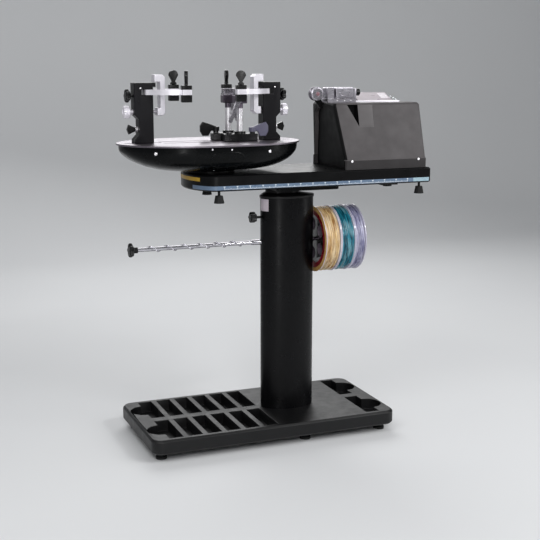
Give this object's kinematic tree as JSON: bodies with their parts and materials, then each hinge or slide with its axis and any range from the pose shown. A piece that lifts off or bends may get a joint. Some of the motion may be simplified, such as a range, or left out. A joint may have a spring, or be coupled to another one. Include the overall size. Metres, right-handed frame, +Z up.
{
  "type": "electronic racket stringing machine",
  "caption": "Electronic racket stringing machine on a floor stand: turntable with racket mounts and string clamps, tension head, height column, reels on a rod and a racket rack base.",
  "frame": {"origin": "on the floor, under the middle of the bounding box", "axes": "+Z up, +X along the machine from the turntable to the tension head, +Y to the back, away from the user"},
  "size_m": [0.961, 0.39, 1.1229],
  "materials": {
    "moulded_black": "fine grain, dark",
    "satin_black": "satin powder coat",
    "beam_black": "black satin coat over aluminium",
    "rubber": "matt",
    "knob_black": "smooth moulded",
    "hull_black": "satin gloss shell",
    "textured_grey": "pebble texture",
    "plate_silver": "fine satin",
    "silver": "satin polished",
    "chrome": "polished",
    "gunmetal": "dark satin",
    "lever_grey": "smooth",
    "reel_smoke": "clear gloss",
    "panel_silver": "satin",
    "guard_clear": "clear moulded",
    "string_gold": "monofilament",
    "string_teal": "monofilament",
    "string_lilac": "monofilament"
  },
  "bodies": {
    "stand": {"base_plate": "moulded_black", "base_foot_front_left": "rubber", "base_foot_front_middle": "rubber", "base_foot_front_right": "rubber", "base_foot_back_left": "rubber", "base_foot_back_middle": "rubber", "base_foot_back_right": "rubber", "column": "satin_black", "column_collar": "moulded_black", "rack_rod": "chrome", "reel_rod": "chrome"},
    "height_lock": {"height_knob": "knob_black"},
    "head": {"lift_tube": "satin_black", "beam": "beam_black", "turntable_bearing": "beam_black", "tension_housing": "textured_grey", "control_panel": "panel_silver", "panel_guard": "guard_clear"},
    "brake": {"brake_knob": "knob_black"},
    "turntable": {"turntable_plate": "plate_silver", "turntable_hull": "hull_black"},
    "mount_left": {"tower_left": "beam_black"},
    "support_left": {"centre_support_left": "silver"},
    "spindle_left": {"spindle_knob_left": "silver"},
    "arm_drive_left": {"arm_knob_left": "knob_black"},
    "mount_lock_left": {"lock_knob_left": "knob_black"},
    "arm_front_left": {"arm_front_left": "silver"},
    "hold_down_front_left": {"hold_down_knob_front_left": "knob_black"},
    "arm_back_left": {"arm_back_left": "silver"},
    "hold_down_back_left": {"hold_down_knob_back_left": "knob_black"},
    "mount_right": {"tower_right": "beam_black"},
    "support_right": {"centre_support_right": "silver"},
    "spindle_right": {"spindle_knob_right": "silver"},
    "arm_drive_right": {"arm_knob_right": "knob_black"},
    "mount_lock_right": {"lock_knob_right": "knob_black"},
    "arm_front_right": {"arm_front_right": "silver"},
    "hold_down_front_right": {"hold_down_knob_front_right": "knob_black"},
    "arm_back_right": {"arm_back_right": "silver"},
    "hold_down_back_right": {"hold_down_knob_back_right": "knob_black"},
    "clamp_foot_front": {"clamp_base_front": "knob_black"},
    "clamp_lock_front": {"clamp_lever_front": "lever_grey"},
    "clamp_front": {"clamp_head_front": "gunmetal"},
    "clamp_grip_front": {"clamp_handle_front": "silver"},
    "clamp_foot_back": {"clamp_base_back": "knob_black"},
    "clamp_lock_back": {"clamp_lever_back": "knob_black"},
    "clamp_back": {"clamp_head_back": "gunmetal"},
    "clamp_grip_back": {"clamp_handle_back": "silver"},
    "roller": {"tension_roller": "silver"},
    "gripper": {"gripper_carriage": "silver"},
    "jaw": {"gripper_jaw": "gunmetal"},
    "pressure_dial": {"pressure_knob": "knob_black"},
    "rocker": {"power_switch": "knob_black"},
    "reel_1": {"reel_hub_1": "reel_smoke", "string_winding_1": "string_gold"},
    "reel_2": {"reel_hub_2": "reel_smoke", "string_winding_2": "string_teal"},
    "reel_3": {"reel_hub_3": "reel_smoke", "string_winding_3": "string_lilac"},
    "rack_rod_end": {"rack_rod_knob": "knob_black"},
    "reel_rod_end": {"reel_rod_knob": "knob_black"}
  },
  "joints": [
    {"name": "height_lock_turn", "type": "hinge", "parent": "stand", "child": "height_lock", "pos_m": [-0.0615, 0, 0.678], "axis": [-1, 0, 0], "range_deg": [0, 540]},
    {"name": "head_lift", "type": "slide", "parent": "stand", "child": "head", "axis": [0, 0, 1], "range_m": [0, 0.15]},
    {"name": "brake_turn", "type": "hinge", "parent": "head", "child": "brake", "pos_m": [-0.1995, 0.138, 0.8015], "axis": [0, 1, 0], "range_deg": [0, 360]},
    {"name": "turntable_spin", "type": "hinge", "parent": "head", "child": "turntable", "pos_m": [-0.2005, 0, 0.9], "axis": [0, 0, 1], "continuous": true},
    {"name": "mount_slide_left", "type": "slide", "parent": "turntable", "child": "mount_left", "axis": [-1, 0, 0], "range_m": [-0.015, 0.03]},
    {"name": "spindle_turn_left", "type": "hinge", "parent": "mount_left", "child": "spindle_left", "pos_m": [-0.4005, 0, 1.005], "axis": [-1, 0, 0], "range_deg": [-1441, 2341]},
    {"name": "support_slide_left", "type": "slide", "parent": "mount_left", "child": "support_left", "axis": [-1, 0, 0], "range_m": [-0.008, 0.013]},
    {"name": "arm_drive_turn_left", "type": "hinge", "parent": "mount_left", "child": "arm_drive_left", "pos_m": [-0.4405, 0, 1.051], "axis": [-1, 0, 0], "range_deg": [-720, 120]},
    {"name": "mount_lock_turn_left", "type": "hinge", "parent": "mount_left", "child": "mount_lock_left", "pos_m": [-0.4305, 0, 0.955], "axis": [-1, 0, 0], "range_deg": [0, 360]},
    {"name": "arm_front_left_swing", "type": "hinge", "parent": "mount_left", "child": "arm_front_left", "pos_m": [-0.39, -0.013, 1.061], "axis": [0, 0, 1], "range_deg": [-12.01, 2.01]},
    {"name": "hold_down_front_left_turn", "type": "hinge", "parent": "arm_front_left", "child": "hold_down_front_left", "pos_m": [-0.2895, -0.064, 1.085], "axis": [0, 0, 1], "range_deg": [-90, 90]},
    {"name": "arm_back_left_swing", "type": "hinge", "parent": "mount_left", "child": "arm_back_left", "pos_m": [-0.39, 0.013, 1.061], "axis": [0, 0, 1], "range_deg": [-2.01, 12.01]},
    {"name": "hold_down_back_left_turn", "type": "hinge", "parent": "arm_back_left", "child": "hold_down_back_left", "pos_m": [-0.2895, 0.064, 1.085], "axis": [0, 0, 1], "range_deg": [-90, 90]},
    {"name": "mount_slide_right", "type": "slide", "parent": "turntable", "child": "mount_right", "axis": [1, 0, 0], "range_m": [-0.015, 0.04]},
    {"name": "spindle_turn_right", "type": "hinge", "parent": "mount_right", "child": "spindle_right", "pos_m": [-0.0115, 0, 1.005], "axis": [1, 0, 0], "range_deg": [-3061, 721]},
    {"name": "support_slide_right", "type": "slide", "parent": "mount_right", "child": "support_right", "axis": [1, 0, 0], "range_m": [-0.017, 0.004]},
    {"name": "arm_drive_turn_right", "type": "hinge", "parent": "mount_right", "child": "arm_drive_right", "pos_m": [0.0285, 0, 1.051], "axis": [1, 0, 0], "range_deg": [-720, 120]},
    {"name": "mount_lock_turn_right", "type": "hinge", "parent": "mount_right", "child": "mount_lock_right", "pos_m": [0.0185, 0, 0.955], "axis": [1, 0, 0], "range_deg": [0, 360]},
    {"name": "arm_front_right_swing", "type": "hinge", "parent": "mount_right", "child": "arm_front_right", "pos_m": [-0.022, -0.013, 1.061], "axis": [0, 0, 1], "range_deg": [-2.01, 12.01]},
    {"name": "hold_down_front_right_turn", "type": "hinge", "parent": "arm_front_right", "child": "hold_down_front_right", "pos_m": [-0.1225, -0.064, 1.085], "axis": [0, 0, 1], "range_deg": [-90, 90]},
    {"name": "arm_back_right_swing", "type": "hinge", "parent": "mount_right", "child": "arm_back_right", "pos_m": [-0.022, 0.013, 1.061], "axis": [0, 0, 1], "range_deg": [-12.01, 2.01]},
    {"name": "hold_down_back_right_turn", "type": "hinge", "parent": "arm_back_right", "child": "hold_down_back_right", "pos_m": [-0.1225, 0.064, 1.085], "axis": [0, 0, 1], "range_deg": [-90, 90]},
    {"name": "clamp_slide_front", "type": "slide", "parent": "turntable", "child": "clamp_foot_front", "axis": [1, 0, 0], "range_m": [-0.16, 0.005]},
    {"name": "clamp_lock_turn_front", "type": "hinge", "parent": "clamp_foot_front", "child": "clamp_lock_front", "pos_m": [-0.0765, -0.0355, 0.945], "axis": [0, 0, -1], "range_deg": [0, 80]},
    {"name": "clamp_swivel_front", "type": "hinge", "parent": "clamp_foot_front", "child": "clamp_front", "pos_m": [-0.1135, -0.028, 1], "axis": [0, 0, 1], "continuous": true},
    {"name": "clamp_grip_turn_front", "type": "hinge", "parent": "clamp_front", "child": "clamp_grip_front", "pos_m": [-0.1135, -0.043, 1.042], "axis": [0, 1, 0], "range_deg": [0, 25]},
    {"name": "clamp_slide_back", "type": "slide", "parent": "turntable", "child": "clamp_foot_back", "axis": [1, 0, 0], "range_m": [-0.14, 0.03]},
    {"name": "clamp_lock_turn_back", "type": "hinge", "parent": "clamp_foot_back", "child": "clamp_lock_back", "pos_m": [-0.1675, 0.0355, 0.945], "axis": [0, 0, -1], "range_deg": [0, 80]},
    {"name": "clamp_swivel_back", "type": "hinge", "parent": "clamp_foot_back", "child": "clamp_back", "pos_m": [-0.1305, 0.028, 1], "axis": [0, 0, 1], "continuous": true},
    {"name": "clamp_grip_turn_back", "type": "hinge", "parent": "clamp_back", "child": "clamp_grip_back", "pos_m": [-0.1305, 0.043, 1.042], "axis": [0, -1, 0], "range_deg": [0, 25]},
    {"name": "roller_spin", "type": "hinge", "parent": "head", "child": "roller", "pos_m": [0.1465, 0, 1.05], "axis": [0, 1, 0], "continuous": true},
    {"name": "gripper_travel", "type": "slide", "parent": "head", "child": "gripper", "axis": [1, 0, 0], "range_m": [0, 0.13]},
    {"name": "jaw_close", "type": "slide", "parent": "gripper", "child": "jaw", "axis": [0, 1, 0], "range_m": [0, 0.004]},
    {"name": "pressure_turn", "type": "hinge", "parent": "gripper", "child": "pressure_dial", "pos_m": [0.2805, 0, 1.054], "axis": [1, 0, 0], "range_deg": [-360, 360]},
    {"name": "switch_rock", "type": "hinge", "parent": "head", "child": "rocker", "pos_m": [0.4305, 0.124, 0.8015], "axis": [1, 0, 0], "range_deg": [-14, 0]},
    {"name": "reel_spin_1", "type": "hinge", "parent": "stand", "child": "reel_1", "pos_m": [0.1665, 0, 0.6], "axis": [1, 0, 0], "continuous": true},
    {"name": "reel_spin_2", "type": "hinge", "parent": "stand", "child": "reel_2", "pos_m": [0.2168, 0, 0.6], "axis": [1, 0, 0], "continuous": true},
    {"name": "reel_spin_3", "type": "hinge", "parent": "stand", "child": "reel_3", "pos_m": [0.2591, 0, 0.6], "axis": [1, 0, 0], "continuous": true},
    {"name": "rack_rod_knob_turn", "type": "hinge", "parent": "stand", "child": "rack_rod_end", "pos_m": [-0.4445, 0, 0.6], "axis": [-1, 0, 0], "range_deg": [0, 720]},
    {"name": "reel_rod_knob_turn", "type": "hinge", "parent": "stand", "child": "reel_rod_end", "pos_m": [0.2955, 0, 0.6], "axis": [1, 0, 0], "range_deg": [0, 720]}
  ],
  "couplings": [
    {"joint": "spindle_turn_left", "follows": "support_slide_left", "rad_per_m": 3141.6},
    {"joint": "arm_front_left_swing", "follows": "arm_drive_turn_left", "ratio": 0.016667},
    {"joint": "arm_back_left_swing", "follows": "arm_drive_turn_left", "ratio": -0.016667},
    {"joint": "spindle_turn_right", "follows": "support_slide_right", "rad_per_m": 3141.6},
    {"joint": "arm_front_right_swing", "follows": "arm_drive_turn_right", "ratio": -0.016667},
    {"joint": "arm_back_right_swing", "follows": "arm_drive_turn_right", "ratio": 0.016667}
  ]
}
